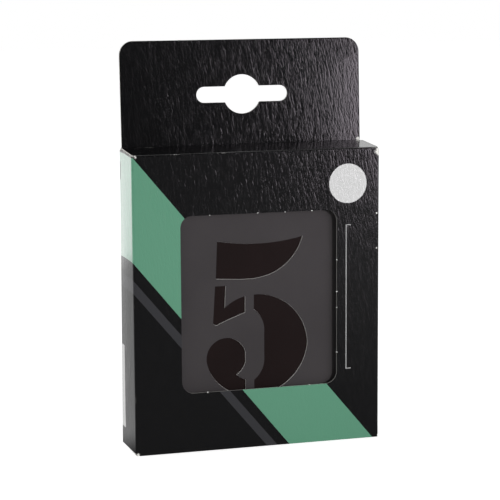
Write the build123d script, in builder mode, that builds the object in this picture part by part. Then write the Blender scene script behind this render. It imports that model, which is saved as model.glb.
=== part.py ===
# A boxed set of lettering stencils: a folding carton with a window and a hang header,
# holding a pack of cut figure plates.
#
# Frame: millimetres, X to the right along the front, Y away from the viewer, Z up.
# The origin is at the middle of the footprint, on the surface that the carton stands on.

import os

from build123d import *

os.makedirs("parts", exist_ok=True)

# Board of the carton
board = 0.4                     # thickness
crease_gap = 0.05               # between two panels that meet at a crease

# Stencil plates and the dark card behind the first one
plate_count = 26
plate_width = 80.0
plate_height = 88.0
plate_thickness = 0.45
plate_corner_radius = 2.5
plate_gap = 0.06
card_thickness = 0.5

# Figures cut through the plates
figure_width = 36.0
figure_height = 53.5
figure_bottom = 16.45           # from the plate's lower edge
bridge_width = 3.0
crossbar_width = 1.9            # the level bridge under the five's flag
cap_share = 0.96                # top of the figures, but for the five's flag

# Room round the pack of plates, which with the board gives the carton its size
side_room = 2.8
floor_room = 0.3                # from the bottom dust flaps to the plates
head_room = 11.0                # from the plates to the top dust flaps
front_room = 1.2                # from the bottom tuck flap to the first plate
rear_room = 0.59                # from the last plate to the header's glued strip

# Header, the part of the back that stands above the lid
header_height = 36.4
header_inset = 0.8
header_corner_radius = 4.8
header_strip_length = 8.0       # how far the header's front layer reaches down inside

# Hang slot, a slot with a hole at its middle
slot_width = 32.3
slot_height = 5.4
slot_hole_diameter = 13.3
slot_above_lid = 17.9           # from the lid up to the slot's centre line

# Window in the front
window_width = 54.8
window_height = 60.1
window_corner_radius = 4.0
window_offset = 0.4             # its centre, right of the carton's centre
window_bottom = 20.2

# Lids and their tuck flaps
lid_side_inset = 0.35
tuck_length = 6.0
tuck_clearance = 0.75           # to the wall that the tuck flap slides in behind
tuck_side_inset = 3.0
tuck_corner_radius = 2.5

# Dust flaps, their shape in shares of their length along the crease
dust_wall_clearance = 0.6       # to the wall by the lid's crease
dust_tuck_clearance = 0.35
dust_reach_share = 0.6
dust_setback_share = 0.16       # how much the edge beside the tuck flap draws in
dust_corner_share = 0.08

# Glue flap inside the right side
glue_flap_width = 10.0
glue_flap_end_inset = 7.0
glue_flap_slope = 5.0

# Sizes of the carton
plate_pitch = plate_thickness + plate_gap
pack_depth = plate_count * plate_pitch + card_thickness
flap_depth = 2 * board + crease_gap     # a lid and the dust flaps that lie on it
plate_bottom = flap_depth + floor_room
plates_from_front = 2 * board + tuck_clearance + front_room

carton_width = plate_width + 2 * (side_room + board)
carton_height = plate_bottom + plate_height + head_room + flap_depth
carton_depth = plates_from_front + pack_depth + rear_room + 2 * board

front = -carton_depth / 2
back = carton_depth / 2
left = -carton_width / 2
right = carton_width / 2

inner_front = front + board
inner_back = back - board
lid_under = carton_height - board
flap_top = lid_under - crease_gap
flap_under = flap_top - board

header_top = carton_height + header_height
header_strip_front = inner_back - board
slot_centre = carton_height + slot_above_lid


def standing(y):
    # A sketch plane facing the viewer, with its own Y up, at depth y
    return Plane.XZ.offset(-y)


def rectangle_between(x0, z0, x1, z1):
    with Locations(((x0 + x1) / 2, (z0 + z1) / 2)):
        Rectangle(x1 - x0, z1 - z0)


def write(part, name):
    part.label = name
    export_step(part, f"parts/{name}.step")


# Front panel with its window
window_centre = window_bottom + window_height / 2
front_panel_top = lid_under - crease_gap

with BuildPart() as front_panel:
    with BuildSketch(standing(front)):
        rectangle_between(left, 0, right, front_panel_top)
        with Locations((window_offset, window_centre)):
            RectangleRounded(window_width, window_height, window_corner_radius, mode=Mode.SUBTRACT)
    extrude(amount=-board)
write(front_panel.part, "front_panel")


# Side panels, which end clear of the dust flaps
side_bottom = flap_depth + crease_gap
side_top = flap_under - crease_gap

with BuildPart() as left_side_panel:
    with BuildSketch(Plane.YZ.offset(left)):
        rectangle_between(inner_front, side_bottom, inner_back, side_top)
    extrude(amount=board)
write(left_side_panel.part, "left_side_panel")

with BuildPart() as right_side_panel:
    mirror(left_side_panel.part, about=Plane.YZ)
write(right_side_panel.part, "right_side_panel")


# Glue flap, folded from the back panel and stuck inside the right side
glue_bottom = side_bottom + glue_flap_end_inset
glue_top = side_top - glue_flap_end_inset
glue_front = inner_back - glue_flap_width

with BuildPart() as glue_flap:
    with BuildSketch(Plane.YZ.offset(right - board)):
        with BuildLine():
            Polyline(
                (inner_back, glue_bottom),
                (glue_front, glue_bottom + glue_flap_slope),
                (glue_front, glue_top - glue_flap_slope),
                (inner_back, glue_top),
                close=True,
            )
        make_face()
    extrude(amount=-board)
write(glue_flap.part, "glue_flap")


# Back panel, which runs on up as the rear layer of the header
header_left = left + header_inset
header_right = right - header_inset


def header_outline(z_from):
    # The header from a given height to its rounded top corners
    rectangle_between(header_left, z_from, header_right, header_top)
    top_corners = vertices().group_by(Axis.Y)[-1]
    fillet(top_corners, header_corner_radius)


def hang_slot():
    with Locations((0, slot_centre)):
        SlotOverall(slot_width, slot_height, mode=Mode.SUBTRACT)
        Circle(slot_hole_diameter / 2, mode=Mode.SUBTRACT)


back_panel_bottom = board + crease_gap

with BuildPart() as back_panel:
    with BuildSketch(standing(inner_back)):
        header_outline(lid_under)
        rectangle_between(left, back_panel_bottom, right, carton_height)
        hang_slot()
    extrude(amount=-board)
write(back_panel.part, "back_panel")


# Front layer of the header, folded over at the top and glued down inside the carton
with BuildPart() as header_front_layer:
    with BuildSketch(standing(header_strip_front)):
        header_outline(lid_under - header_strip_length)
        hang_slot()
    extrude(amount=-board)
write(header_front_layer.part, "header_front_layer")


# Closures: each end has a lid, a tuck flap and two dust flaps. They are drawn for a top
# end whose lid creases at y = 0 and reaches along +Y, and then put in place.
lid_half_width = right - lid_side_inset
tuck_half_width = right - tuck_side_inset


def lid_body(bottom, length):
    with BuildPart() as lid:
        with BuildSketch(Plane.XY.offset(bottom)):
            rectangle_between(-lid_half_width, 0, lid_half_width, length)
        extrude(amount=board)
    return lid.part


def tuck_body(top, outer_face):
    with BuildPart() as tuck:
        with BuildSketch(standing(outer_face - board)):
            rectangle_between(-tuck_half_width, top - tuck_length, tuck_half_width, top)
            tip_corners = vertices().group_by(Axis.Y)[0]
            fillet(tip_corners, tuck_corner_radius)
        extrude(amount=-board)
    return tuck.part


def dust_body(bottom, tuck_face):
    # The left flap: its edge by the lid's crease slopes at 45 degrees, so that flap and
    # lid can swing up together
    root_front = board + dust_wall_clearance
    root_rear = tuck_face - dust_tuck_clearance
    root = root_rear - root_front
    reach = dust_reach_share * root
    tip = left + reach
    with BuildPart() as dust:
        with BuildSketch(Plane.XY.offset(bottom)):
            with BuildLine():
                Polyline(
                    (left, root_front),
                    (tip, root_front + reach),
                    (tip, root_rear - dust_setback_share * root),
                    (left, root_rear),
                    close=True,
                )
            make_face()
            tip_corners = vertices().group_by(Axis.X)[-1]
            fillet(tip_corners, dust_corner_share * root)
        extrude(amount=board)
    return dust.part


def closure(length):
    tuck_face = length - board
    flap = dust_body(flap_under, tuck_face)
    return {
        "lid": lid_body(lid_under, length),
        "tuck_flap": tuck_body(flap_top, length),
        "dust_flap_left": flap,
        "dust_flap_right": flap.mirror(Plane.YZ),
    }


# The top lid creases at the front edge and tucks in before the header's glued strip
top_lid_length = header_strip_front - tuck_clearance - front
for name, piece in closure(top_lid_length).items():
    write(piece.moved(Location((0, front, 0))), f"top_{name}")

# The bottom lid creases at the rear edge and tucks in behind the front panel
bottom_lid_length = back - inner_front - tuck_clearance
turned_over = Location((0, back, carton_height), (180, 0, 0))
for name, piece in closure(bottom_lid_length).items():
    write(piece.moved(turned_over), f"bottom_{name}")


# Figures, as shares of the figure's width and height from its lower left corner. A path
# is a start point and then moves: one point is a line to it, two are an arc through the
# first to the second. A bridge is a strip of plate left standing across the cuts.
def path(*moves, mode=Mode.ADD):
    return ("path", mode, moves)


def oval(x, z, half_width, half_height, mode=Mode.ADD):
    return ("oval", mode, (x, z, half_width, half_height))


def ball(x, z, radius):
    return ("ball", Mode.ADD, (x, z, radius))


def upright_bridge(x, z0, z1):
    return ("upright", Mode.SUBTRACT, (x, z0, z1))


def level_bridge(z, x0, x1):
    return ("level", Mode.SUBTRACT, (z, x0, x1))


def crossbar(z, x0, x1):
    return ("crossbar", Mode.SUBTRACT, (z, x0, x1))


def bar(x0, z0, x1, z1, mode=Mode.ADD):
    return path((x0, z0), ((x1, z0),), ((x1, z1),), ((x0, z1),), mode=mode)


def tailed_figure_shares(upright=True):
    # A six, or a nine where it is turned by half a turn
    def at(x, z):
        return (x, z) if upright else (1 - x, cap_share - z)

    return [
        oval(*at(0.50, 0.31), 0.50, 0.31),
        oval(*at(0.50, 0.31), 0.13, 0.23, mode=Mode.SUBTRACT),
        path(
            at(0.00, 0.31),
            (at(0.04, 0.66), at(0.30, 0.88)),
            (at(0.50, 0.96), at(0.66, 0.955)),
            (at(0.66, 0.915),),
            (at(0.40, 0.80), at(0.36, 0.31)),
        ),
        ball(*at(0.76, 0.83), 0.17),
        upright_bridge(0.50, *sorted((at(0, -0.02)[1], at(0, 0.70)[1]))),
    ]


figure_shares = {
    "zero": [
        oval(0.50, 0.48, 0.48, 0.48),
        oval(0.50, 0.48, 0.13, 0.39, mode=Mode.SUBTRACT),
        upright_bridge(0.50, -0.02, 1.00),
    ],
    "one": [
        bar(0.36, 0.00, 0.68, 0.96),
        path((0.36, 0.96), ((0.26, 0.83), (0.12, 0.78)), ((0.12, 0.73),), ((0.36, 0.77),)),
        bar(0.12, 0.00, 0.92, 0.075),
        level_bridge(0.105, 0.10, 0.94),
    ],
    "two": [
        path(
            (0.08, 0.76),
            ((0.24, 0.93), (0.50, 0.96)),
            ((0.84, 0.90), (0.95, 0.71)),
            ((0.86, 0.50), (0.56, 0.34)),
            ((0.38, 0.26), (0.26, 0.16)),
            ((0.06, 0.14),),
            ((0.16, 0.30), (0.42, 0.45)),
            ((0.58, 0.56), (0.60, 0.71)),
            ((0.57, 0.87), (0.46, 0.905)),
            ((0.32, 0.90), (0.26, 0.84)),
        ),
        ball(0.22, 0.73, 0.19),
        path((0.06, 0.17), ((0.05, 0.00),), ((0.95, 0.00),), ((0.97, 0.28),), ((0.90, 0.28),),
             ((0.85, 0.18), (0.72, 0.17))),
        level_bridge(0.185, 0.00, 0.74),
        upright_bridge(0.46, 0.80, 1.00),
    ],
    "three": [
        oval(0.47, 0.71, 0.42, 0.25),
        oval(0.47, 0.26, 0.50, 0.26),
        oval(0.40, 0.71, 0.15, 0.19, mode=Mode.SUBTRACT),
        oval(0.40, 0.26, 0.17, 0.20, mode=Mode.SUBTRACT),
        bar(-0.05, 0.36, 0.42, 0.60, mode=Mode.SUBTRACT),
        bar(-0.05, 0.18, 0.30, 0.80, mode=Mode.SUBTRACT),
        ball(0.20, 0.76, 0.16),
        ball(0.18, 0.22, 0.18),
        level_bridge(0.485, 0.40, 1.00),
        upright_bridge(0.44, -0.02, 0.10),
        upright_bridge(0.44, 0.86, 1.00),
    ],
    "four": [
        path((0.50, 0.96), ((0.80, 0.96),), ((0.80, 0.12),), ((0.50, 0.12),)),
        path((0.50, 0.96), ((0.00, 0.34),), ((0.00, 0.25),), ((1.00, 0.25),), ((1.00, 0.34),),
             ((0.12, 0.34),), ((0.50, 0.80),)),
        bar(0.32, 0.00, 0.98, 0.075),
        level_bridge(0.105, 0.30, 1.00),
        upright_bridge(0.46, 0.20, 1.00),
    ],
    "five": [
        path(
            (0.121, 0.997),
            ((0.569, 0.971), (0.961, 1.006)),
            ((0.843, 0.863), (0.625, 0.767)),
            ((0.505, 0.750), (0.386, 0.745)),
            ((0.106, 0.757),),
        ),
        path(
            (0.100, 0.735),
            ((0.205, 0.735),),
            ((0.192, 0.572),),
            ((0.300, 0.619), (0.433, 0.643)),
            ((0.840, 0.558), (1.007, 0.318)),
            ((0.839, 0.088), (0.433, 0.000)),
            ((0.150, 0.069), (0.013, 0.219)),
            ((0.303, 0.135),),
            ((0.380, 0.104), (0.475, 0.095)),
            ((0.545, 0.150), (0.575, 0.250)),
            ((0.575, 0.396),),
            ((0.545, 0.497), (0.475, 0.551)),
            ((0.256, 0.501), (0.135, 0.468)),
            ((0.088, 0.466), (0.077, 0.492)),
        ),
        ball(0.203, 0.247, 0.194),
        upright_bridge(0.433, -0.02, 0.70),
        crossbar(0.729, 0.00, 0.60),
    ],
    "six": tailed_figure_shares(),
    "seven": [
        bar(0.04, 0.80, 0.96, 0.96),
        path((0.04, 0.96), ((0.04, 0.66),), ((0.11, 0.66),), ((0.18, 0.80), (0.36, 0.82))),
        path(
            (0.92, 0.82),
            ((0.70, 0.48), (0.66, 0.00)),
            ((0.30, 0.00),),
            ((0.40, 0.44), (0.82, 0.82)),
        ),
        level_bridge(0.775, 0.30, 1.00),
    ],
    "eight": [
        oval(0.50, 0.71, 0.43, 0.25),
        oval(0.50, 0.26, 0.50, 0.26),
        oval(0.50, 0.71, 0.15, 0.17, mode=Mode.SUBTRACT),
        oval(0.50, 0.26, 0.17, 0.18, mode=Mode.SUBTRACT),
        upright_bridge(0.50, -0.02, 1.00),
        level_bridge(0.488, 0.00, 1.00),
    ],
    "nine": tailed_figure_shares(upright=False),
    "full_stop": [ball(0.50, 0.10, 0.19)],
    "colon": [ball(0.50, 0.14, 0.19), ball(0.50, 0.60, 0.19)],
    "dash": [bar(0.20, 0.41, 0.80, 0.53)],
    "plus": [bar(0.10, 0.42, 0.90, 0.52), bar(0.43, 0.20, 0.57, 0.74)],
    "equals": [bar(0.10, 0.30, 0.90, 0.41), bar(0.10, 0.53, 0.90, 0.64)],
    "slash": [path((0.12, 0.00), ((0.34, 0.00),), ((0.88, 0.96),), ((0.66, 0.96),))],
}

# The bottom tuck flap lies in front of the plates, which start behind it
plates_front = front + plates_from_front
figure_left = -figure_width / 2
figure_base = plate_bottom + figure_bottom


def on_plate(x_share, z_share):
    return (figure_left + x_share * figure_width, figure_base + z_share * figure_height)


def draw_path(moves, mode):
    pen = on_plate(*moves[0])
    with BuildLine() as outline:
        for move in moves[1:]:
            stops = [on_plate(*point) for point in move]
            if len(stops) == 1:
                Line(pen, stops[0])
            else:
                ThreePointArc(pen, *stops)
            pen = stops[-1]
        Line(pen, on_plate(*moves[0]))
    make_face(outline.edges(), mode=mode)


def draw_stroke(kind, mode, shares):
    if kind == "path":
        draw_path(shares, mode)
        return
    if kind == "oval":
        x, z, half_width, half_height = shares
        with Locations(on_plate(x, z)):
            Ellipse(half_width * figure_width, half_height * figure_height, mode=mode)
    elif kind == "ball":
        x, z, radius = shares
        with Locations(on_plate(x, z)):
            Circle(radius * figure_width, mode=mode)
    elif kind == "upright":
        x, z0, z1 = shares
        centre, low = on_plate(x, z0)
        high = on_plate(x, z1)[1]
        with Locations((centre, (low + high) / 2)):
            Rectangle(bridge_width, high - low, mode=mode)
    else:
        z, x0, x1 = shares
        near, centre = on_plate(x0, z)
        far = on_plate(x1, z)[0]
        width = crossbar_width if kind == "crossbar" else bridge_width
        with Locations(((near + far) / 2, centre)):
            Rectangle(far - near, width, mode=mode)


def plate_outline():
    with Locations((0, plate_bottom + plate_height / 2)):
        RectangleRounded(plate_width, plate_height, plate_corner_radius)


def stencil_plate(figure, y):
    with BuildSketch(standing(y)) as cuts:
        for kind, mode, shares in figure_shares[figure]:
            draw_stroke(kind, mode, shares)
    with BuildPart() as plate:
        with BuildSketch(standing(y)):
            plate_outline()
        extrude(amount=-plate_thickness)
        extrude(cuts.sketch, amount=-plate_thickness, mode=Mode.SUBTRACT)
    return plate.part


digits = ["zero", "one", "two", "three", "four", "five", "six", "seven", "eight", "nine"]
marks = ["full_stop", "colon", "dash", "slash", "plus", "equals"]
behind = [digit for digit in digits if digit != "five"] + digits + marks

write(stencil_plate("five", plates_front), "plate_01_five")

# The dark card stands behind the first plate, so that its figure reads through the window
card_front = plates_front + plate_thickness + plate_gap
with BuildPart() as backing_card:
    with BuildSketch(standing(card_front)):
        plate_outline()
    extrude(amount=-card_thickness)
write(backing_card.part, "backing_card")

pack_front = card_front + card_thickness + plate_gap
for place, figure in enumerate(behind[: plate_count - 1]):
    write(stencil_plate(figure, pack_front + place * plate_pitch), f"plate_{place + 2:02d}_{figure}")
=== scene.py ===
# A boxed set of lettering stencils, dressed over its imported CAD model.
# Lengths in the dictionaries are millimetres, in the CAD frame: X right along the front,
# Y away from the viewer, Z up. Meshes are made in millimetres and scaled to metres. Only
# the studio's lengths are metres.

import math

import bmesh
import bpy
from mathutils import Matrix, Vector, noise


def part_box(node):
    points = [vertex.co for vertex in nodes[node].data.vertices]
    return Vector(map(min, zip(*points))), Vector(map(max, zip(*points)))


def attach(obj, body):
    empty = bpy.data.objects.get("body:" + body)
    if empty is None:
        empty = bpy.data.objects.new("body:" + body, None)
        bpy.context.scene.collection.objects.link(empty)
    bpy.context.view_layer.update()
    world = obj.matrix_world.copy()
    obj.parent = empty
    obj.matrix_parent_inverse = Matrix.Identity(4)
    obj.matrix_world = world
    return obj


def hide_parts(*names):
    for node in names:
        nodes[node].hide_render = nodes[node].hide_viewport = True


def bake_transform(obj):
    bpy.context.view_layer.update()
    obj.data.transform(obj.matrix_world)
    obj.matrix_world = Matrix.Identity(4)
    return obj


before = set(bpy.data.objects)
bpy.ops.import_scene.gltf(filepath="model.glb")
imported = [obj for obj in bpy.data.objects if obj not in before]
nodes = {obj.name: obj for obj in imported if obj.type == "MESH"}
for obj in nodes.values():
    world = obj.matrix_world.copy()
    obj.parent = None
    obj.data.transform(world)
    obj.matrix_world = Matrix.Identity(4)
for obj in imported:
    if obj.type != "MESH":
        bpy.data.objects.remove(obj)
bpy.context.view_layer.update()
mm = 0.001
print("frame loaded,", len(nodes), "CAD nodes")


def boxOf(name):
    low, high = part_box(name)
    return low / mm, high / mm


frontLow, frontHigh = boxOf("front_panel")
sideLow, sideHigh = boxOf("left_side_panel")
glueLow, glueHigh = boxOf("glue_flap")
headerLow, headerHigh = boxOf("header_front_layer")
backHigh = boxOf("back_panel")[1]
lidHigh = boxOf("top_lid")[1]

left, right = frontLow.x, frontHigh.x
front, back = frontLow.y, backHigh.y
board = frontHigh.y - frontLow.y
lidTop, headerTop = lidHigh.z, backHigh.z


# Outlines and fold lines

def ahead(angle):
    return Vector((math.cos(angle), math.sin(angle)))


def aside(angle):
    return Vector((-math.sin(angle), math.cos(angle)))


def middle(first, second):
    return (first + second) / 2


def swell(along, low, high):
    # 0 at both ends and 1 in the middle
    share = (along - low) / (high - low)
    return math.sin(math.pi * share) if 0 < share < 1 else 0


def spread(low, high, spacing):
    count = max(1, round((high - low) / spacing))
    return [low + (high - low) * k / count for k in range(1, count)]


def rounded(corners, steps=8):
    # A polygon whose corners are (x, y, radius)
    points = []
    count = len(corners)
    for k, (x, y, radius) in enumerate(corners):
        if radius == 0:
            points.append((x, y))
            continue
        here = Vector((x, y))
        before = (Vector(corners[k - 1][:2]) - here).normalized()
        after = (Vector(corners[(k + 1) % count][:2]) - here).normalized()
        half = before.angle(after) / 2
        reach = radius / math.tan(half)
        centre = here + (before + after).normalized() * (radius / math.sin(half))
        first = here + before * reach - centre
        last = here + after * reach - centre
        turn = first.angle_signed(last)
        for step in range(steps + 1):
            spoke = Matrix.Rotation(-turn * step / steps, 2) @ first
            points.append(tuple(centre + spoke))
    return points


def foldedLine(start, heading, steps, cutsPerFold=6):
    # A line with folds in it. A step is a length, or (radius, degrees) for a fold. Gives a
    # function from the way along the line to its place, the way to each step's end, and
    # where the board needs dividing so that it can bend.
    parts, ends, cuts = [], [], []
    way, place, angle = 0.0, Vector(start), math.radians(heading)
    for step in steps:
        if isinstance(step, tuple):
            radius, turn = step[0], math.radians(step[1])
            length = radius * abs(turn)
            cuts += [way + length * k / cutsPerFold for k in range(cutsPerFold + 1)]
            side = math.copysign(radius, turn)
            centre = place + aside(angle) * side
            parts.append((way, length, centre, angle, turn, side))
            angle += turn
            place = centre - aside(angle) * side
        else:
            length = step
            parts.append((way, length, place.copy(), angle, 0, 0))
            place = place + ahead(angle) * length
        way += length
        ends.append(way)

    def placeAt(distance):
        for begin, length, origin, facing, turn, side in parts:
            if distance <= begin + length or begin + length >= way:
                run = distance - begin
                if turn == 0:
                    return origin + ahead(facing) * run
                return origin - aside(facing + turn * run / length) * side

    return placeAt, ends, cuts


# Pieces of board

def addObject(name, data):
    made = bpy.data.objects.new(name, data)
    bpy.context.scene.collection.objects.link(made)
    return made


def newPiece(name, mesh, materials):
    # An object in the scene, from a mesh in metres
    made = bpy.data.meshes.new(name)
    mesh.to_mesh(made)
    mesh.free()
    for material in materials:
        made.materials.append(material)
    return addObject(name, made)


def applied(piece):
    # Makes the piece's modifiers part of its mesh
    seen = bpy.context.evaluated_depsgraph_get()
    piece.data = bpy.data.meshes.new_from_object(
        piece.evaluated_get(seen), preserve_all_data_layers=True, depsgraph=seen)
    piece.modifiers.clear()
    return piece


def settled(piece, smoothBelow=35):
    # Applies the modifiers, then smooths the folds and keeps the flat faces flat
    applied(piece)
    piece.data.shade_smooth()
    piece.data.set_sharp_from_angle(angle=math.radians(smoothBelow))
    even = piece.modifiers.new("even shading", "WEIGHTED_NORMAL")
    even.weight = 100
    even.keep_sharp = True
    return applied(piece)


def cutBoard(name, outline, holes, acrossCuts, upCuts, place, creases, materials, thickness, mirror=False):
    # A piece of board: cut flat, divided where it bends, folded by place(u, v), and given
    # its thickness inwards. Its flat shape is kept as the UV map "blank", and how near a
    # point is to a crease as the attribute "crease".
    mesh = bmesh.new()
    for loop in [outline, *holes]:
        corners = [mesh.verts.new((u, v, 0)) for u, v in loop]
        for k, corner in enumerate(corners):
            mesh.edges.new((corners[k - 1], corner))
    bmesh.ops.triangle_fill(mesh, use_beauty=True, use_dissolve=False, edges=mesh.edges[:])
    for cuts, normal in ((acrossCuts, (1, 0, 0)), (upCuts, (0, 1, 0))):
        for cut in cuts:
            everything = mesh.verts[:] + mesh.edges[:] + mesh.faces[:]
            bmesh.ops.bisect_plane(mesh, geom=everything, dist=1e-5,
                                   plane_co=Vector(normal) * cut, plane_no=normal)
    for face in mesh.faces:
        if face.normal.z < 0:
            face.normal_flip()
    blank = mesh.loops.layers.uv.new("blank")
    crease = mesh.verts.layers.float.new("crease")
    for face in mesh.faces:
        for loop in face.loops:
            loop[blank].uv = loop.vert.co.xy * mm
    for vert in mesh.verts:
        u, v = vert.co.xy
        vert[crease] = max([0.0] + [(1 - abs((u, v)[axis] - line) / reach) * wear
                                    for axis, line, reach, wear in creases])
        vert.co = place(u, v)
    if mirror:
        for vert in mesh.verts:
            vert.co.x = -vert.co.x
        bmesh.ops.reverse_faces(mesh, faces=mesh.faces[:])
    mesh.transform(Matrix.Scale(mm, 4))
    piece = newPiece(name, mesh, materials)
    wall = piece.modifiers.new("thickness", "SOLIDIFY")
    wall.thickness = thickness * mm
    wall.offset = -1
    wall.use_even_offset = True
    wall.material_offset = 1
    wall.material_offset_rim = 2
    return settled(piece)


# Node helpers

def feed(tree, socket, value):
    if isinstance(value, bpy.types.NodeSocket):
        tree.links.new(value, socket)
    else:
        socket.default_value = value


def addNode(tree, kind, settings=None, **inputs):
    node = tree.nodes.new(kind)
    for key, value in (settings or {}).items():
        setattr(node, key, value)
    for key, value in inputs.items():
        feed(tree, node.inputs[key.replace("_", " ")], value)
    return node


def calc(tree, operation, *values, clamp=False):
    node = addNode(tree, "ShaderNodeMath", {"operation": operation, "use_clamp": clamp})
    for socket, value in zip(node.inputs, values):
        feed(tree, socket, value)
    return node.outputs[0]


def blendColours(tree, factor, first, second):
    node = addNode(tree, "ShaderNodeMix", {"data_type": "RGBA"})
    for socket, value in zip((node.inputs[0], node.inputs[6], node.inputs[7]), (factor, first, second)):
        feed(tree, socket, (*value, 1) if isinstance(value, tuple) and len(value) == 3 else value)
    return node.outputs[2]


def ramp(tree, value, low, high, lowTo=0.0, highTo=1.0):
    node = addNode(tree, "ShaderNodeMapRange", {"interpolation_type": "SMOOTHSTEP"})
    for socket, number in zip(node.inputs[:5], (value, low, high, lowTo, highTo)):
        feed(tree, socket, number)
    return node.outputs[0]


def noiseAt(tree, place, scale, **inputs):
    return addNode(tree, "ShaderNodeTexNoise", Vector=place, Scale=scale, **inputs).outputs[0]


def newGroup(name, inputs, outputs, kind="ShaderNodeTree"):
    # Inputs and outputs give each socket's name and its type
    group = bpy.data.node_groups.new(name, kind)
    for way, sockets in (("INPUT", inputs), ("OUTPUT", outputs)):
        for label, held in sockets.items():
            group.interface.new_socket(label, in_out=way, socket_type="NodeSocket" + held)
    return group, group.nodes.new("NodeGroupInput").outputs, group.nodes.new("NodeGroupOutput").inputs


def placeGroup(tree, group, **inputs):
    return addNode(tree, "ShaderNodeGroup", {"node_tree": group}, **inputs)


def linear(*levels):
    # A colour as read on screen, from 0 to 255, as the shader takes it
    shares = [level / 255 for level in levels]
    return tuple(c / 12.92 if c <= 0.04045 else ((c + 0.055) / 1.055) ** 2.4 for c in shares)


# Board grain: fibres that run up the blank, fine over coarse, and the slow waves under them
fibre = {
    "coarse": {"lean": 0.12, "grain": 0.42, "detail": 1.0, "weight": 0.9},
    "fine": {"lean": 0.24, "grain": 1.0, "detail": 0.0, "weight": 0.5},
    "roughness": 0.55,
    "distortion": 0.8,
    "waveScale": 70.0,
    "waveDetail": 2.0,
}
boardGrain, given, out = newGroup(
    "board grain",
    {"Vector": "Vector", "Across": "Float", "Along": "Float"},
    {"Fibres": "Float", "Waves": "Float"},
)
apart = addNode(boardGrain, "ShaderNodeSeparateXYZ", Vector=given["Vector"]).outputs


def fibreLayer(layer):
    leaning = calc(boardGrain, "MULTIPLY_ADD", apart[1], layer["lean"], apart[0])
    across, along = (calc(boardGrain, "MULTIPLY", given[way], layer["grain"]) for way in ("Across", "Along"))
    stretched = addNode(
        boardGrain, "ShaderNodeCombineXYZ",
        X=calc(boardGrain, "MULTIPLY", leaning, across),
        Y=calc(boardGrain, "MULTIPLY", apart[1], along),
        Z=calc(boardGrain, "MULTIPLY", apart[2], across),
    )
    return noiseAt(boardGrain, stretched.outputs[0], 1.0, Detail=layer["detail"],
                   Roughness=fibre["roughness"], Distortion=fibre["distortion"])


fineFibres = calc(boardGrain, "MULTIPLY", fibreLayer(fibre["fine"]), fibre["fine"]["weight"])
fibres = calc(boardGrain, "MULTIPLY_ADD", fibreLayer(fibre["coarse"]), fibre["coarse"]["weight"], fineFibres)
waves = noiseAt(boardGrain, given["Vector"], fibre["waveScale"], Detail=fibre["waveDetail"])
boardGrain.links.new(fibres, out["Fibres"])
boardGrain.links.new(waves, out["Waves"])

# Wear: where a mask is high, the coating breaks away in small flakes
flakes = {
    "fineDetail": 3.0,
    "fineRoughness": 0.6,
    "fineWeight": 1.0,
    "patchSize": 0.13,          # grain of the patches, as a share of the flakes' own
    "patchDetail": 2.0,
    "patchWeight": 2.2,
    "maskGain": 4.0,
    "breaks": (0.45, 0.85),     # where the coating starts to break, and where it is gone
}
flakedCoat, given, out = newGroup(
    "flaked coat",
    {"Vector": "Vector", "Mask": "Float", "Grain": "Float"},
    {"Worn": "Float"},
)
fine = noiseAt(flakedCoat, given["Vector"], given["Grain"], Detail=flakes["fineDetail"],
               Roughness=flakes["fineRoughness"])
patchGrain = calc(flakedCoat, "MULTIPLY", given["Grain"], flakes["patchSize"])
patches = noiseAt(flakedCoat, given["Vector"], patchGrain, Detail=flakes["patchDetail"])
drift = calc(flakedCoat, "ADD",
             calc(flakedCoat, "MULTIPLY_ADD", fine, flakes["fineWeight"], -flakes["fineWeight"] / 2),
             calc(flakedCoat, "MULTIPLY_ADD", patches, flakes["patchWeight"], -flakes["patchWeight"] / 2))
held = calc(flakedCoat, "MULTIPLY", drift,
            calc(flakedCoat, "MULTIPLY", given["Mask"], flakes["maskGain"], clamp=True))
worn = ramp(flakedCoat, calc(flakedCoat, "ADD", given["Mask"], held), *flakes["breaks"])
flakedCoat.links.new(worn, out["Worn"])

# A knocked corner: a mask round one place, nearly 1 in the middle
knock = {"middle": 0.95, "fall": 0.75}
knockedCorner, given, out = newGroup(
    "knocked corner",
    {"Vector": "Vector", "Corner": "Vector", "Reach": "Float"},
    {"Mask": "Float"},
)
away = addNode(knockedCorner, "ShaderNodeVectorMath", {"operation": "DISTANCE"})
knockedCorner.links.new(given["Vector"], away.inputs[0])
knockedCorner.links.new(given["Corner"], away.inputs[1])
share = calc(knockedCorner, "DIVIDE", away.outputs["Value"], given["Reach"])
mask = calc(knockedCorner, "MULTIPLY_ADD", share, -knock["fall"], knock["middle"], clamp=True)
knockedCorner.links.new(mask, out["Mask"])

# Speckle: the fine pits of a matt sheet, and slow clouds
specks = {"pitDetail": 2.0, "cloudScale": 40.0, "cloudDetail": 3.0}
fineSpeckle, given, out = newGroup(
    "fine speckle",
    {"Vector": "Vector", "Grain": "Float"},
    {"Pits": "Float", "Clouds": "Float"},
)
pits = noiseAt(fineSpeckle, given["Vector"], given["Grain"], Detail=specks["pitDetail"])
clouds = noiseAt(fineSpeckle, given["Vector"], specks["cloudScale"], Detail=specks["cloudDetail"])
fineSpeckle.links.new(pits, out["Pits"])
fineSpeckle.links.new(clouds, out["Clouds"])


ink = {
    "black": linear(17, 17, 18),
    "green": linear(95, 151, 124),
    "grey": linear(54, 54, 57),
    "white": linear(211, 211, 211),
    "line": linear(165, 165, 165),
    "bareBoard": linear(232, 231, 226),
}

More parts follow.
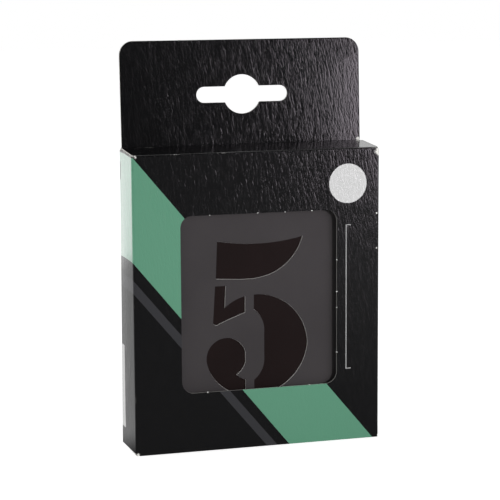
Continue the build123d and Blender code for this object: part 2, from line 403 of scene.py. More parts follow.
# Printed shapes on the carton. The slanted bands start at the left edge of the front and
# fall to the right; on the left side they run on level.
printed = {
    "greenFrom": (65.5, 1.215),     # height at the left edge, fall for each mm to the right
    "greenTo": (100.7, 1.197),
    "greyFrom": (55.2, 1.2),
    "greyTo": (59.6, 1.2),
    "disc": (31.8, 89.0, 6.7),      # x, z, radius
    "bracket": (31.2, 24.9, 75.0, 1.7, 0.34),   # x, lowest z, highest z, foot, width
    "foldMark": (1.9, 91.5, 97.5),  # black run-over at the left side's rear fold: width, lowest z, highest z
    "strip": (5.2, 7.0, 35.5),      # bare strip on the left side: width, lowest z, highest z
    "panel": (38.0, 6.6, 34.8),     # bare panel on the back: width, lowest z, highest z
    "edge": 0.09,                   # softness of a printed edge
    "faceDepth": 0.9,               # how deep the front's and the back's print reaches
    "sideDepth": 0.3,
    "far": 1.0,                     # a limit past any part of the carton, in metres
}


def insideOf(tree, value, low, high):
    # 1 between two heights or sides, given in metres as numbers or sockets
    soft = 1 / (printed["edge"] * mm)
    above = calc(tree, "MULTIPLY_ADD", calc(tree, "SUBTRACT", value, low), soft, 0.5, clamp=True)
    below = calc(tree, "MULTIPLY_ADD", calc(tree, "SUBTRACT", high, value), soft, 0.5, clamp=True)
    return calc(tree, "MULTIPLY", above, below)


def combine(tree, operation, *masks):
    whole = masks[0]
    for mask in masks[1:]:
        whole = calc(tree, operation, whole, mask)
    return whole


def allOf(tree, *masks):
    return combine(tree, "MULTIPLY", *masks)


def anyOf(tree, *masks):
    return combine(tree, "MAXIMUM", *masks)


def printColour(tree, x, y, z):
    # The print's colour, and a mask of its green
    far = printed["far"]
    across = calc(tree, "SUBTRACT", x, left * mm)

    def fallingBand(name):
        low, high = (calc(tree, "MULTIPLY_ADD", across, -printed[name + end][1], printed[name + end][0] * mm)
                     for end in ("From", "To"))
        return insideOf(tree, z, low, high)

    def patch(name, face, along, edge):
        # A bare or black patch from an edge of a face to its width inwards
        width, low, high = (length * mm for length in printed[name])
        sides = (-far, edge * mm + width) if edge == left else (edge * mm - width, far)
        return allOf(tree, face, insideOf(tree, along, *sides), insideOf(tree, z, low, high))

    onFront = insideOf(tree, y, -far, (front + printed["faceDepth"]) * mm)
    onBack = insideOf(tree, y, (back - printed["faceDepth"]) * mm, far)
    onLeft = insideOf(tree, x, -far, (left + printed["sideDepth"]) * mm)
    discX, discZ, discRadius = printed["disc"]
    awayX = calc(tree, "SUBTRACT", x, discX * mm)
    awayZ = calc(tree, "SUBTRACT", z, discZ * mm)
    away = calc(tree, "SQRT", calc(tree, "MULTIPLY_ADD", awayX, awayX, calc(tree, "MULTIPLY", awayZ, awayZ)))
    disc = insideOf(tree, away, -far, discRadius * mm)
    lineX, lowZ, highZ, foot, width = (length * mm for length in printed["bracket"])
    stem = allOf(tree, insideOf(tree, x, lineX - width / 2, lineX + width / 2),
                 insideOf(tree, z, lowZ, highZ))
    feet = allOf(tree, insideOf(tree, x, lineX, lineX + foot),
                 anyOf(tree, insideOf(tree, z, lowZ, lowZ + width), insideOf(tree, z, highZ - width, highZ)))
    strip = patch("strip", onLeft, y, back)
    panel = patch("panel", onBack, x, left)
    mark = patch("foldMark", onLeft, y, back)
    green = calc(tree, "SUBTRACT", fallingBand("green"), mark, clamp=True)
    colour = blendColours(tree, green, ink["black"], ink["green"])
    colour = blendColours(tree, fallingBand("grey"), colour, ink["grey"])
    colour = blendColours(tree, allOf(tree, onFront, anyOf(tree, stem, feet)), colour, ink["line"])
    bare = anyOf(tree, allOf(tree, onFront, disc), strip, panel)
    return blendColours(tree, bare, colour, ink["white"]), green


def newMaterial(name):
    material = bpy.data.materials.new(name)
    material.use_nodes = True
    material.node_tree.nodes.clear()
    return material, material.node_tree


def setSurface(tree, **inputs):
    surface = addNode(tree, "ShaderNodeBsdfPrincipled", **inputs)
    addNode(tree, "ShaderNodeOutputMaterial", Surface=surface.outputs[0])


def bumped(tree, height, depth, **inputs):
    # The normal over a height, with its depth in millimetres
    return addNode(tree, "ShaderNodeBump", Distance=depth * mm, Height=height, **inputs).outputs[0]


varnish = {
    "roughness": 0.165,
    "smoother": 0.04,           # how far the roughness falls and rises over the fibres
    "rougher": 0.06,
    "fibreRange": (0.5, 1.0),
    "wornRoughness": 0.4,       # what wear adds to it
    "ior": 1.6,
    "rubbed": 0.28,             # how pale a rubbed crease gets
    "greenCoat": 0.95,
    "coatRoughness": 0.1,
    "fibreHeight": 0.053,
    "waveHeight": 0.08,
    "across": 2250.0,           # fibres for each metre
    "along": 500.0,
    "flakeGrain": 1300.0,
}
knocked = (     # place of each knocked corner, and how far the damage reaches
    ((left + 1.3, front, lidTop - 0.5), 1.5),
    ((left + 3.2, front + 0.2, lidTop), 1.1),
    ((right, front + 0.2, lidTop - 1.2), 2.0),
    ((left + 0.8, front, 0.4), 1.2),
    ((right, front, 0.4), 1.0),
    ((headerLow.x + 4.6, back, headerTop), 1.2),
    ((headerHigh.x - 4.8, back, headerTop), 1.4),
    ((headerHigh.x - 0.6, back - 2 * board, lidTop + 1.4), 1.1),
    *(((right - 0.95, front, z), 0.3) for z in (78.4, 75.3, 70.9, 69.5, 66.4)),
)


def printedBoard(name, withPrint):
    # Varnished print on board. It flakes white along the creases
    material, tree = newMaterial(name)
    blank = addNode(tree, "ShaderNodeUVMap", {"uv_map": "blank"}).outputs[0]
    place = addNode(tree, "ShaderNodeTexCoord").outputs["Object"]
    crease = addNode(tree, "ShaderNodeAttribute", {"attribute_name": "crease"}).outputs["Fac"]
    colour, coat = ink["black"], {}
    if withPrint:
        axes = addNode(tree, "ShaderNodeSeparateXYZ", Vector=place)
        colour, green = printColour(tree, *axes.outputs[:3])
        coat = {"Coat_Weight": calc(tree, "MULTIPLY", green, varnish["greenCoat"]),
                "Coat_Roughness": varnish["coatRoughness"]}
    grain = placeGroup(tree, boardGrain, Vector=blank, Across=varnish["across"],
                       Along=varnish["along"]).outputs
    damage = 0.0
    for corner, reach in knocked:
        spot = placeGroup(tree, knockedCorner, Vector=place, Corner=tuple(c * mm for c in corner),
                          Reach=reach * mm)
        damage = calc(tree, "MAXIMUM", damage, spot.outputs[0])
    rubbed, chipped = (
        placeGroup(tree, flakedCoat, Vector=place, Mask=mask, Grain=varnish["flakeGrain"]).outputs[0]
        for mask in (crease, damage))
    worn = calc(tree, "MAXIMUM", calc(tree, "MULTIPLY", rubbed, varnish["rubbed"]), chipped)
    gloss = ramp(tree, grain["Fibres"], *varnish["fibreRange"], varnish["roughness"] - varnish["smoother"],
                 varnish["roughness"] + varnish["rougher"])
    slow = bumped(tree, grain["Waves"], varnish["waveHeight"])
    setSurface(
        tree,
        Base_Color=blendColours(tree, worn, colour, ink["bareBoard"]),
        Roughness=calc(tree, "MULTIPLY_ADD", worn, varnish["wornRoughness"], gloss, clamp=True),
        IOR=varnish["ior"],
        Normal=bumped(tree, grain["Fibres"], varnish["fibreHeight"], Normal=slow),
        **coat,
    )
    return material


bare = {
    "across": 1500.0,           # fibres for each metre
    "along": 700.0,
    "fibreRange": (0.45, 1.05),
    "darker": 0.8,              # between the fibres
    "fibreHeight": 0.02,
}


def bareBoard(name, colour, roughness):
    # Unprinted board: the inside of the carton, its cut edges and torn ties
    material, tree = newMaterial(name)
    place = addNode(tree, "ShaderNodeTexCoord").outputs["Object"]
    grain = placeGroup(tree, boardGrain, Vector=place, Across=bare["across"], Along=bare["along"])
    tone = ramp(tree, grain.outputs["Fibres"], *bare["fibreRange"])
    dark = tuple(bare["darker"] * c for c in colour)
    setSurface(
        tree,
        Base_Color=blendColours(tree, tone, dark, colour),
        Roughness=roughness,
        Normal=bumped(tree, grain.outputs["Fibres"], bare["fibreHeight"]),
    )
    return material


matt = {
    "grain": 2600.0,
    "noiseRange": (0.3, 0.7),
    "roughness": (0.5, 0.66),       # over the pits
    "cloudy": (0.92, 1.08),         # how dark and how pale the clouds are
    "wallFacing": (0.75, 0.35),     # how square to the sheet a face may be before it counts as a wall
    "pitDepth": 0.008,
}


def mattSheet(name, face, wall, shine):
    # A thin sheet standing upright: its two faces are matt, its cut walls are paler
    material, tree = newMaterial(name)
    where = addNode(tree, "ShaderNodeTexCoord").outputs
    speckle = placeGroup(tree, fineSpeckle, Vector=where["Object"], Grain=matt["grain"]).outputs
    depth = addNode(tree, "ShaderNodeSeparateXYZ", Vector=where["Normal"]).outputs[1]
    cut = ramp(tree, calc(tree, "ABSOLUTE", depth), *matt["wallFacing"])
    dark, pale = (tuple(share * c for c in face) for share in matt["cloudy"])
    cloudy = blendColours(tree, ramp(tree, speckle["Clouds"], *matt["noiseRange"]), dark, pale)
    setSurface(
        tree,
        Base_Color=blendColours(tree, cut, cloudy, wall),
        Specular_IOR_Level=shine,
        Roughness=ramp(tree, speckle["Pits"], *matt["noiseRange"], *matt["roughness"]),
        Normal=bumped(tree, speckle["Pits"], matt["pitDepth"]),
    )
    return material


cartonPrint = printedBoard("printed board", True)
plainPrint = printedBoard("black printed board", False)
insideBoard = bareBoard("bare board", ink["bareBoard"], 0.8)
cutEdge = bareBoard("cut board edge", linear(215, 213, 208), 0.85)
boardFinish = [cartonPrint, insideBoard, cutEdge]
plainFinish = [plainPrint, insideBoard, cutEdge]
stencilSheet = mattSheet("stencil sheet", linear(58, 55, 56), linear(225, 223, 220), shine=0.35)
backingBoard = mattSheet("backing board", linear(27, 18, 17), linear(90, 84, 80), shine=0.15)
print("materials made")


# Carton sleeve and header: one blank from the glue flap round to the right side. The back
# runs on up as the header's rear layer, folds over, and comes down again inside.
sleeve = {
    "foldRadius": 0.85,
    "glueFoldRadius": 0.6,
    "glueSlope": 5.0,
    "glueGap": 0.05,            # between the glue flap and the right side
    "rawEdgeSetback": 0.2,      # the right side's raw edge, short of the back's face
    "bow": 0.18,                # how far the front swells, and then each side
    "sideBow": 0.34,
    "headerLean": 0.059,        # how far the header leans back, for each mm of its height
    "wander": 0.05,             # slow unevenness of the board
    "wanderScale": 0.05,
    "wanderSeed": 3,
    "flare": (0.6, 82.0),       # how far the rear left crease stands out at its foot, and up to what height
    "headerCorner": 4.8,
    "headerCornerSteps": 10,
    "rollRadius": 0.405,
    "layerThickness": 0.4,
    "upSpacing": 7,
}
slot = {
    "centre": 118.9,
    "halfLength": 16.15,
    "halfHeight": 2.7,
    "holeRadius": 6.65,
    "endSteps": 12,
    "holeSteps": 24,
}
window = {"x": 0.4, "low": 20.2, "width": 54.8, "height": 60.1, "corner": 4.0}
lid = {
    "foldRadius": 0.6,
    "halfWidth": lidHigh.x,
    "rise": 1.15,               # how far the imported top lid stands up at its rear
    "crown": 0.1,               # how far a lid sags in its middle
    "creaseInset": 0.3,
    "shoulder": 1.5,
    "acrossSpacing": 7,
    "alongSpacing": 4,
}

radius = sleeve["foldRadius"]
rightInside = right - board - sleeve["glueGap"]
glueRadius = sleeve["glueFoldRadius"]
planAt, planEnds, planCuts = foldedLine(
    (rightInside, glueLow.y), 90,
    [back - glueRadius - glueLow.y, (glueRadius, 90),
     rightInside - glueRadius - (left + radius), (radius, 90),
     back - front - 2 * radius, (radius, 90),
     right - left - 2 * radius, (radius, 90),
     back - sleeve["rawEdgeSetback"] - (front + radius)],
)
glueEnd, backStart, backEnd, leftStart, leftEnd, frontStart, frontEnd, rightStart, rightEnd = planEnds
glueCrease, rearCrease = middle(glueEnd, backStart), middle(backEnd, leftStart)
leftCrease, rightCrease = middle(leftEnd, frontStart), middle(frontEnd, rightStart)
roll = sleeve["rollRadius"]
rollStart = headerTop - roll
upAt, upEnds, upCuts = foldedLine((back, 0), 90, [rollStart, (roll, 180), rollStart - headerLow.z])
rollMiddle = middle(upEnds[0], upEnds[1])


def backWay(x):
    return backStart + rightInside - glueRadius - x


def frontWay(x):
    return frontStart + x - (left + radius)


def rearWay(z):
    # The way up the header's rear layer to a height, also on the roll at its top
    return z if z <= rollStart else rollStart + roll * math.asin(min(1, (z - rollStart) / roll))


def headerCorner(side, rising):
    # One rounded corner of the header on both layers, from rear to front or back again
    cornerRadius, steps = sleeve["headerCorner"], sleeve["headerCornerSteps"]
    centreX = side * (headerHigh.x - cornerRadius)
    points = []
    for k in range(steps + 1):
        turn = math.radians(90 * k / steps)
        x = centreX + side * cornerRadius * math.cos(turn)
        z = headerTop - cornerRadius + cornerRadius * math.sin(turn)
        points.append((backWay(x), rearWay(z)))
    folded = points + [(u, 2 * rollMiddle - v) for u, v in points[-2::-1]]
    return folded if rising else folded[::-1]


lidFold = lid["foldRadius"]
rearRise = sideHigh.z + lid["rise"]
sleeveOutline = [
    (0, glueLow.z + sleeve["glueSlope"]), (glueEnd, glueLow.z), (glueEnd, lidFold),
    (rearCrease, lidFold), (rearCrease, sideLow.z), (leftCrease, sideLow.z), (leftCrease, 0),
    (rightCrease, 0), (rightCrease, sideLow.z), (rightEnd, sideLow.z), (rightEnd, rearRise),
    (rightCrease, sideHigh.z), (rightCrease, lidTop - lidFold),
    (leftCrease, lidTop - lidFold), (leftCrease, sideHigh.z),
    (rearCrease, rearRise), (backWay(headerLow.x), lidTop + lid["rise"]),
    *headerCorner(-1, True),
    (backWay(headerLow.x), upEnds[2]), (backWay(headerHigh.x), upEnds[2]),
    *headerCorner(1, False),
    (backWay(headerHigh.x), lidTop), (glueEnd, lidTop), (glueEnd, glueHigh.z),
    (0, glueHigh.z - sleeve["glueSlope"]),
]


def slotShape():
    # A slot with a hole at its middle, round its centre
    halfLength, halfHeight, hole = slot["halfLength"], slot["halfHeight"], slot["holeRadius"]
    meet = math.asin(halfHeight / hole)
    points = []

    def arc(x, radius, first, last, steps):
        for k in range(steps + 1):
            turn = first + (last - first) * k / steps
            points.append((x + radius * math.cos(turn), radius * math.sin(turn)))

    arc(halfLength - halfHeight, halfHeight, -math.pi / 2, math.pi / 2, slot["endSteps"])
    arc(0, hole, meet, math.pi - meet, slot["holeSteps"])
    arc(halfHeight - halfLength, halfHeight, math.pi / 2, 3 * math.pi / 2, slot["endSteps"])
    arc(0, hole, math.pi + meet, 2 * math.pi - meet, slot["holeSteps"])
    return points


windowX0, windowX1 = window["x"] - window["width"] / 2, window["x"] + window["width"] / 2
windowZ0, windowZ1 = window["low"], window["low"] + window["height"]
windowShape = rounded([
    (x, z, window["corner"]) for x, z in
    ((windowX0, windowZ0), (windowX1, windowZ0), (windowX1, windowZ1), (windowX0, windowZ1))
])
sleeveHoles = [
    [(frontWay(x), z) for x, z in windowShape],
    [(backWay(x), slot["centre"] + z) for x, z in slotShape()],
    [(backWay(x), 2 * rollMiddle - slot["centre"] - z) for x, z in slotShape()],
]


def flareAt(u, v):
    most, height = sleeve["flare"]
    if u < leftStart:
        share = min(1, max(0, (u - backStart) / (backEnd - backStart)))
    else:
        share = max(0, (leftEnd - u) / (leftEnd - leftStart))
    return most * share * max(0, 1 - v / height)


def foldSleeve(u, v):
    x, y = planAt(u)
    x -= flareAt(u, v)
    if glueEnd < u < leftStart:
        depth, z = upAt(v)
        y += depth - back
        if z > lidTop:
            y += sleeve["headerLean"] * (z - lidTop)
        return Vector((x, y, z))
    unevenness = noise.noise(Vector((u, v, sleeve["wanderSeed"])) * sleeve["wanderScale"])
    lift = (sleeve["bow"] + sleeve["wander"] * unevenness) * swell(v, 0, lidTop)
    sideLift = lift * sleeve["sideBow"] / sleeve["bow"]
    if frontStart < u < frontEnd:
        y -= lift * swell(u, frontStart, frontEnd)
    elif leftStart < u < leftEnd:
        x -= sideLift * swell(u, leftStart, leftEnd)
    elif u > rightStart:
        x += sideLift * swell(u, rightStart, rightEnd)
    return Vector((x, y, v))


sleeveCreases = [       # along or across, where, how far it reaches, how worn it is
    (0, glueCrease, 0.4, 0.3),
    (0, rearCrease, 0.4, 0.3),
    (0, leftCrease, 0.35, 0.22),
    (0, rightCrease, 0.35, 0.3),
    (1, rollMiddle, 0.45, 0.35),
]
acrossCuts = planCuts[:]
for start, end, spacing in ((backStart, backEnd, 8), (leftStart, leftEnd, 5), (frontStart, frontEnd, 7),
                            (rightStart, rightEnd, 5)):
    acrossCuts += spread(start, end, spacing)
upwardCuts = upCuts + spread(0, lidTop, sleeve["upSpacing"])
cartonSleeve = cutBoard("cartonSleeve", sleeveOutline, sleeveHoles, acrossCuts, upwardCuts, foldSleeve,
                        sleeveCreases, boardFinish, sleeve["layerThickness"])
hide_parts("front_panel", "left_side_panel", "right_side_panel", "back_panel", "glue_flap",
            "header_front_layer")
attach(cartonSleeve, "carton")
print("sleeve folded,", len(cartonSleeve.data.polygons), "faces")


# Lids and flaps, drawn with the lid's crease at y = 0 and its face at z = 0, then put at
# the top end or turned over for the bottom end

def atTop(place):
    rise = lid["rise"] * max(0, place.y) / (back - front)
    return Vector((place.x, front + place.y, lidTop + place.z + rise))


def atBottom(place):
    return Vector((place.x, back - place.y, -place.z))


def makeLid(end, putAt, length):
    fold, half = lid["foldRadius"], lid["halfWidth"]
    lidAt, lidEnds, lidCuts = foldedLine((0, -fold), 90, [(fold, -90), length - 2 * fold])
    creaseHalf, shoulder = half - lid["creaseInset"], lidEnds[0] + lid["shoulder"]

    def foldLid(u, v):
        y, z = lidAt(v)
        crown = lid["crown"] * swell(v, lidEnds[0], lidEnds[1]) * swell(u, -half, half)
        return putAt(Vector((u, y, z - crown)))

    piece = cutBoard(
        end + "LidBoard",
        [(-creaseHalf, 0), (creaseHalf, 0), (half, shoulder), (half, lidEnds[1]), (-half, lidEnds[1]),
         (-half, shoulder)],
        [], spread(-half, half, lid["acrossSpacing"]),
        lidCuts + spread(lidEnds[0], lidEnds[1], lid["alongSpacing"]), foldLid,
        [(1, middle(0, lidEnds[0]), 0.3, 0.42), (1, lidEnds[1], 0.3, 0.4)], plainFinish, board)
    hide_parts(end + "_lid")
    putAt(Vector((0, 0, -fold))) * mm
    putAt(Vector((0, fold, 0))) * mm
    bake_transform(piece)


tuck = {
    "corner": 2.5,
    "drop": 0.45,               # from the lid's face to where the solid flap starts
    "spacing": 9,
}


def makeTuckFlap(end, putAt, length):
    low, high = boxOf(end + "_tuck_flap")
    fold, wide = lid["foldRadius"], high.x
    reach = high.z - low.z + tuck["drop"] - fold
    tuckAt, tuckEnds, tuckCuts = foldedLine((length - fold, 0), 0, [(fold, -90), reach])

    def foldTuck(u, v):
        y, z = tuckAt(v)
        return putAt(Vector((u, y, z)))

    piece = cutBoard(
        end + "TuckFlap",
        rounded([(-wide, 0, 0), (wide, 0, 0), (wide, tuckEnds[1], tuck["corner"]),
                 (-wide, tuckEnds[1], tuck["corner"])]),
        [], spread(-wide, wide, tuck["spacing"]), tuckCuts, foldTuck, [(1, tuckEnds[0] / 2, 0.25, 0.42)],
        plainFinish, board)
    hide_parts(end + "_tuck_flap")
    putAt(Vector((0, length - fold, 0))) * mm
    putAt(Vector((0, length, -fold))) * mm
    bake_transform(piece)


dust = {
    "foldRadius": 0.45,
    "below": 0.1,               # from the lid's underside down to the flap
    "frontClear": 0.6,          # from the wall by the lid's crease
    "tuckClear": 0.35,
    "cornerShare": 0.08,        # shares of the flap's length along its crease
    "setbackShare": 0.16,
}


def makeDustFlaps(end, putAt, length):
    low, high = boxOf(end + "_dust_flap_left")
    small = dust["foldRadius"]
    hang = 2 * board + dust["below"]
    reach = high.x - low.x
    dustAt, dustEnds, dustCuts = foldedLine((left, -hang), 90, [(small, -90), reach - small])
    rootFront = board + dust["frontClear"]
    rootRear = length - board - dust["tuckClear"]
    root = rootRear - rootFront
    corner, setback = dust["cornerShare"] * root, dust["setbackShare"] * root

    def foldDust(u, v):
        x, z = dustAt(v)
        return putAt(Vector((x, -u, z)))

    shape = rounded([(-rootFront, 0, 0), (-rootFront - reach, dustEnds[1], corner),
                     (-rootRear + setback, dustEnds[1], corner), (-rootRear, 0, 0)][::-1])
    for side, sign in (("left", 1), ("right", -1)):
        piece = cutBoard(
            end + "DustFlap" + side.capitalize(), shape, [], [], dustCuts, foldDust,
            [(1, dustEnds[0] / 2, 0.5, 0.75)], plainFinish, board, mirror=side == "right")
        node = f"{end}_dust_flap_{side}"
        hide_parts(node)
        foldStart = putAt(Vector((sign * left, 0, -hang)))
        foldEnd = putAt(Vector((sign * (left + small), 0, small - hang)))
        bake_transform(piece)


for end, putAt in (("top", atTop), ("bottom", atBottom)):
    low, high = boxOf(end + "_lid")
    for makePiece in (makeLid, makeTuckFlap, makeDustFlaps):
        makePiece(end, putAt, high.y - low.y)
print("lids and flaps folded")


# Nicks: the torn ties that held the window's waste while the blank was cut
nicks = {
    "top": (-16.9, -0.2, 9.4, 18.9),        # x along the upper edge
    "bottom": (-18.1, 18.0),
    "right": (63.0, 52.0, 46.5, 31.0),      # z along the right edge
    "size": 0.28,
    "seed": 5,
    "raggedScale": 4000.0,
    "turn": 0.4,                            # radians either way
    "least": (0.7, 0.45, 0.6),              # stretch along each axis
    "most": (1.2, 0.7, 1.1),
    "depth": 0.1,                           # behind the front's face
}


def randomVector(tree, seed, low, high):
    node = addNode(tree, "FunctionNodeRandomValue", {"data_type": "FLOAT_VECTOR"}, Seed=seed)
    feed(tree, node.inputs[0], low)
    feed(tree, node.inputs[1], high)
    return node.outputs[0]


def tearNicks(name, places):
    seeds = bpy.data.meshes.new(name)
    seeds.from_pydata([Vector(place) * mm for place in places], [], [])
    piece = addObject(name, seeds)
    tree, given, out = newGroup(
        "tear nicks",
        {"Places": "Geometry", "Size": "Float", "Seed": "Int", "Material": "Material"},
        {"Nicks": "Geometry"},
        "GeometryNodeTree",
    )
    tuft = addNode(tree, "GeometryNodeMeshIcoSphere", Radius=given["Size"], Subdivisions=2)
    ragged = addNode(tree, "ShaderNodeTexNoise", {"noise_dimensions": "3D"}, Scale=nicks["raggedScale"])
    push = addNode(tree, "ShaderNodeVectorMath", {"operation": "SUBTRACT"})
    feed(tree, push.inputs[0], ragged.outputs["Color"])
    feed(tree, push.inputs[1], (0.5, 0.5, 0.5))
    spike = addNode(tree, "ShaderNodeVectorMath", {"operation": "SCALE"}, Scale=given["Size"])
    feed(tree, spike.inputs[0], push.outputs[0])
    torn = addNode(tree, "GeometryNodeSetPosition", Geometry=tuft.outputs["Mesh"], Offset=spike.outputs[0])
    turn = randomVector(tree, given["Seed"], (-nicks["turn"],) * 3, (nicks["turn"],) * 3)
    stretch = randomVector(tree, given["Seed"], nicks["least"], nicks["most"])
    spots = addNode(tree, "GeometryNodeInstanceOnPoints", Points=given["Places"], Instance=torn.outputs[0],
                    Rotation=turn, Scale=stretch)
    real = addNode(tree, "GeometryNodeRealizeInstances", Geometry=spots.outputs[0])
    finished = addNode(tree, "GeometryNodeSetMaterial", Geometry=real.outputs[0], Material=given["Material"])
    tree.links.new(finished.outputs[0], out["Nicks"])
    modifier = piece.modifiers.new("tear nicks", "NODES")
    modifier.node_group = tree
    values = {"Size": nicks["size"] * mm, "Seed": nicks["seed"], "Material": tornPaper}
    for item in tree.interface.items_tree:
        if item.in_out == "INPUT" and item.name in values:
            modifier[item.identifier] = values[item.name]
    return settled(piece)


tornPaper = bareBoard("torn board", linear(235, 235, 232), 0.9)
nickPlaces = [
    *((x, windowZ1) for x in nicks["top"]),
    *((x, windowZ0) for x in nicks["bottom"]),
    *((windowX1, z) for z in nicks["right"]),
]
nickPlaces = [
    (x, front + nicks["depth"] - sleeve["bow"] * swell(x, left, right) * swell(z, 0, lidTop), z)
    for x, z in nickPlaces
]
windowNicks = tearNicks("windowNicks", nickPlaces)
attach(windowNicks, "carton")
print("window nicks torn,", len(windowNicks.data.polygons), "faces")


# The first stencil: the same sheet as its solid, but its cut-outs taper a little towards
# the back, as cut board does, so that their lower and right walls show as thin pale lines
stencil = {
    "taper": 0.07,
    "rim": 0.05,                # how near the outline or the rear face a corner counts as on it
    "flatWithin": 0.5,          # degrees
    "wallBelow": 0.5,           # a face counts as a cut's wall when its normal's Y is smaller
    "sharpest": 0.5,            # limits how far a sharp corner moves
}


def taperCuts(name, node):
    low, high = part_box(node)
    mesh = bmesh.new()
    mesh.from_mesh(nodes[node].data)
    bmesh.ops.remove_doubles(mesh, verts=mesh.verts[:], dist=1e-6)
    bmesh.ops.dissolve_limit(mesh, angle_limit=math.radians(stencil["flatWithin"]), verts=mesh.verts[:],
                             edges=mesh.edges[:])
    mesh.normal_update()
    rim = stencil["rim"] * mm
    moves = []
    for vert in mesh.verts:
        outside = min(vert.co.x - low.x, high.x - vert.co.x, vert.co.z - low.z, high.z - vert.co.z) < rim
        if outside or vert.co.y < high.y - rim:
            continue
        walls = [face.normal for face in vert.link_faces if abs(face.normal.y) < stencil["wallBelow"]]
        if walls:
            between = sum(walls, Vector()).normalized()
            share = max(stencil["sharpest"], between.dot(walls[0]))
            moves.append((vert, between * stencil["taper"] * mm / share))
    for vert, move in moves:
        vert.co += move
    bmesh.ops.triangulate(mesh, faces=mesh.faces[:])
    piece = newPiece(name, mesh, [stencilSheet])
    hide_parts(node)
    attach(piece, node)
    return piece


firstStencil = taperCuts("firstStencil", "plate_01_five")
print("first stencil cut,", len(firstStencil.data.polygons), "faces")


# The other plates and the card behind the first one keep their CAD shape
for name, node in nodes.items():
    finish = stencilSheet if name.startswith("plate_") else backingBoard if name == "backing_card" else None
    if finish:
        node.data.materials.clear()
        node.data.materials.append(finish)
print("plates finished")


# Studio, in metres: a pale floor, a soft key lamp from the front right, a wash over the left
# side, and a near light whose sheen shows in the varnish alone. What the varnish mirrors is
# white behind the carton and dark in front of it.
studio = {
    "aim": (0, 0, 0.08),
    "floorSize": 6.0,
    "floorDrop": 0.0002,
    "floorColour": 0.9,
    "floorGlow": 0.74,                  # added to the floor where the camera sees it
    "surround": 0.28,
    "surroundLeft": 0.63,               # brighter on the left, where a white wall stands
    "leftFrom": (-0.4, -0.95),          # share of the direction that points to the left
    "behindFrom": (-0.25, 0.35),        # and to the back
    "key": {"place": (0.34, -1.2, 0.25), "power": 9.6, "size": (0.17, 0.17)},
    "sheen": {"place": (0.446, -0.556, 0.206), "power": 1.85, "size": (0.34, 0.4), "colour": (1.0, 0.9, 1.0)},
    "wash": {"place": (-0.9, 0.35, 0.25), "power": 5.5, "size": (0.6, 0.6)},
}
# How bright the floor glows in the varnish's reflections alone, a painted reflection that is darker close
# behind the carton as painted shade: from where to where, and how bright at each
mirroredFloor = {
    "near": (-0.01, 0.03, 0.05, 0.6),   # along Y
    "far": (0.36, 0.44, 0, 0.55),
    "beside": (0.05, 0.14, 0.075, 0.16),    # along X
    "rightmost": (0.2, 0.3, 0, 0.1),
    "besideFrom": (-0.68, -0.56, 0, 1),     # along Y
}

floorMesh = bpy.data.meshes.new("floor")
halfFloor = studio["floorSize"] / 2
floorMesh.from_pydata([(-halfFloor, -halfFloor, 0), (halfFloor, -halfFloor, 0), (halfFloor, halfFloor, 0),
                       (-halfFloor, halfFloor, 0)], [], [(0, 1, 2, 3)])
floor = addObject("floor", floorMesh)
floor.location.z = -studio["floorDrop"]


def choose(tree, factor, first, second):
    mix = addNode(tree, "ShaderNodeMixShader", Fac=factor)
    tree.links.new(first, mix.inputs[1])
    tree.links.new(second, mix.inputs[2])
    return mix.outputs[0]


floorFinish, tree = newMaterial("floor")
white = (1, 1, 1, 1)
path = addNode(tree, "ShaderNodeLightPath").outputs
paint = addNode(tree, "ShaderNodeBsdfDiffuse", Color=(*[studio["floorColour"]] * 3, 1))
glow = addNode(tree, "ShaderNodeEmission", Color=white, Strength=studio["floorGlow"])
lit = addNode(tree, "ShaderNodeAddShader")
tree.links.new(paint.outputs[0], lit.inputs[0])
tree.links.new(glow.outputs[0], lit.inputs[1])
across, depth, _ = addNode(tree, "ShaderNodeSeparateXYZ",
                           Vector=addNode(tree, "ShaderNodeTexCoord").outputs["Object"]).outputs
behindCarton = calc(tree, "ADD", ramp(tree, depth, *mirroredFloor["near"]),
                    ramp(tree, depth, *mirroredFloor["far"]))
besideCarton = calc(tree, "ADD", ramp(tree, across, *mirroredFloor["beside"]),
                    ramp(tree, across, *mirroredFloor["rightmost"]))
besideCarton = calc(tree, "MULTIPLY", besideCarton, ramp(tree, depth, *mirroredFloor["besideFrom"]))
# The floor glows only for glossy rays: a painted reflection of a lit floor, with painted shade close behind
# the carton
mirrored = addNode(tree, "ShaderNodeEmission", Color=white,
                   Strength=calc(tree, "MAXIMUM", behindCarton, besideCarton))
plain = choose(tree, path["Is Camera Ray"], paint.outputs[0], lit.outputs[0])
shown = choose(tree, path["Is Glossy Ray"], plain, mirrored.outputs[0])
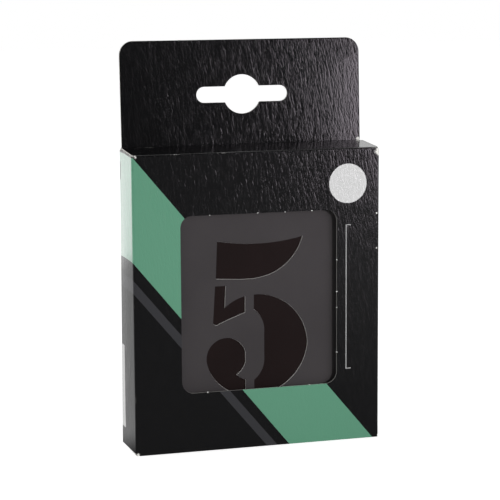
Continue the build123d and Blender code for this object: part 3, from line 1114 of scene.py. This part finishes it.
addNode(tree, "ShaderNodeOutputMaterial", Surface=shown)
floorMesh.materials.append(floorFinish)

world = bpy.data.worlds.new("studio")
bpy.context.scene.world = world
world.use_nodes = True
tree = world.node_tree
tree.nodes.clear()
path = addNode(tree, "ShaderNodeLightPath").outputs
heading = addNode(tree, "ShaderNodeTexCoord").outputs["Generated"]
aim = addNode(tree, "ShaderNodeSeparateXYZ", Vector=heading).outputs
behind = ramp(tree, aim[1], *studio["behindFrom"])
around = ramp(tree, aim[0], *studio["leftFrom"], studio["surround"], studio["surroundLeft"])
level = calc(tree, "MULTIPLY_ADD", path["Is Glossy Ray"], calc(tree, "SUBTRACT", behind, around), around)
seenStraight = calc(tree, "MAXIMUM", path["Is Camera Ray"], path["Is Transmission Ray"])
background = addNode(tree, "ShaderNodeBackground", Color=white,
                     Strength=calc(tree, "MAXIMUM", level, seenStraight))
addNode(tree, "ShaderNodeOutputWorld", Surface=background.outputs[0])


def areaLamp(name):
    settings = studio[name]
    lamp = bpy.data.lights.new(name, "AREA")
    lamp.shape = "RECTANGLE"
    lamp.size, lamp.size_y = settings["size"]
    lamp.energy = settings["power"]
    lamp.color = settings.get("colour", (1, 1, 1))
    placed = addObject(name, lamp)
    placed.location = settings["place"]
    placed.rotation_euler = (Vector(studio["aim"]) - placed.location).to_track_quat("-Z", "Y").to_euler()
    return placed


areaLamp("key").visible_glossy = False
areaLamp("sheen").visible_diffuse = False
areaLamp("wash").visible_glossy = False
bpy.context.scene.view_settings.view_transform = "Standard"

camera = {"place": (-179.93, -598.92, 162.47), "turn": (81.27, 0.351, -16.751), "lens": 133.9, "sensor": 36,
          "near": 10}
cameraData = bpy.data.cameras.new("camera")
cameraData.lens = camera["lens"]
cameraData.sensor_width = camera["sensor"]
cameraData.clip_start = camera["near"] * mm
cameraObject = addObject("camera", cameraData)
cameraObject.location = Vector(camera["place"]) * mm
cameraObject.rotation_euler = tuple(math.radians(angle) for angle in camera["turn"])
bpy.context.scene.camera = cameraObject
print("studio set")
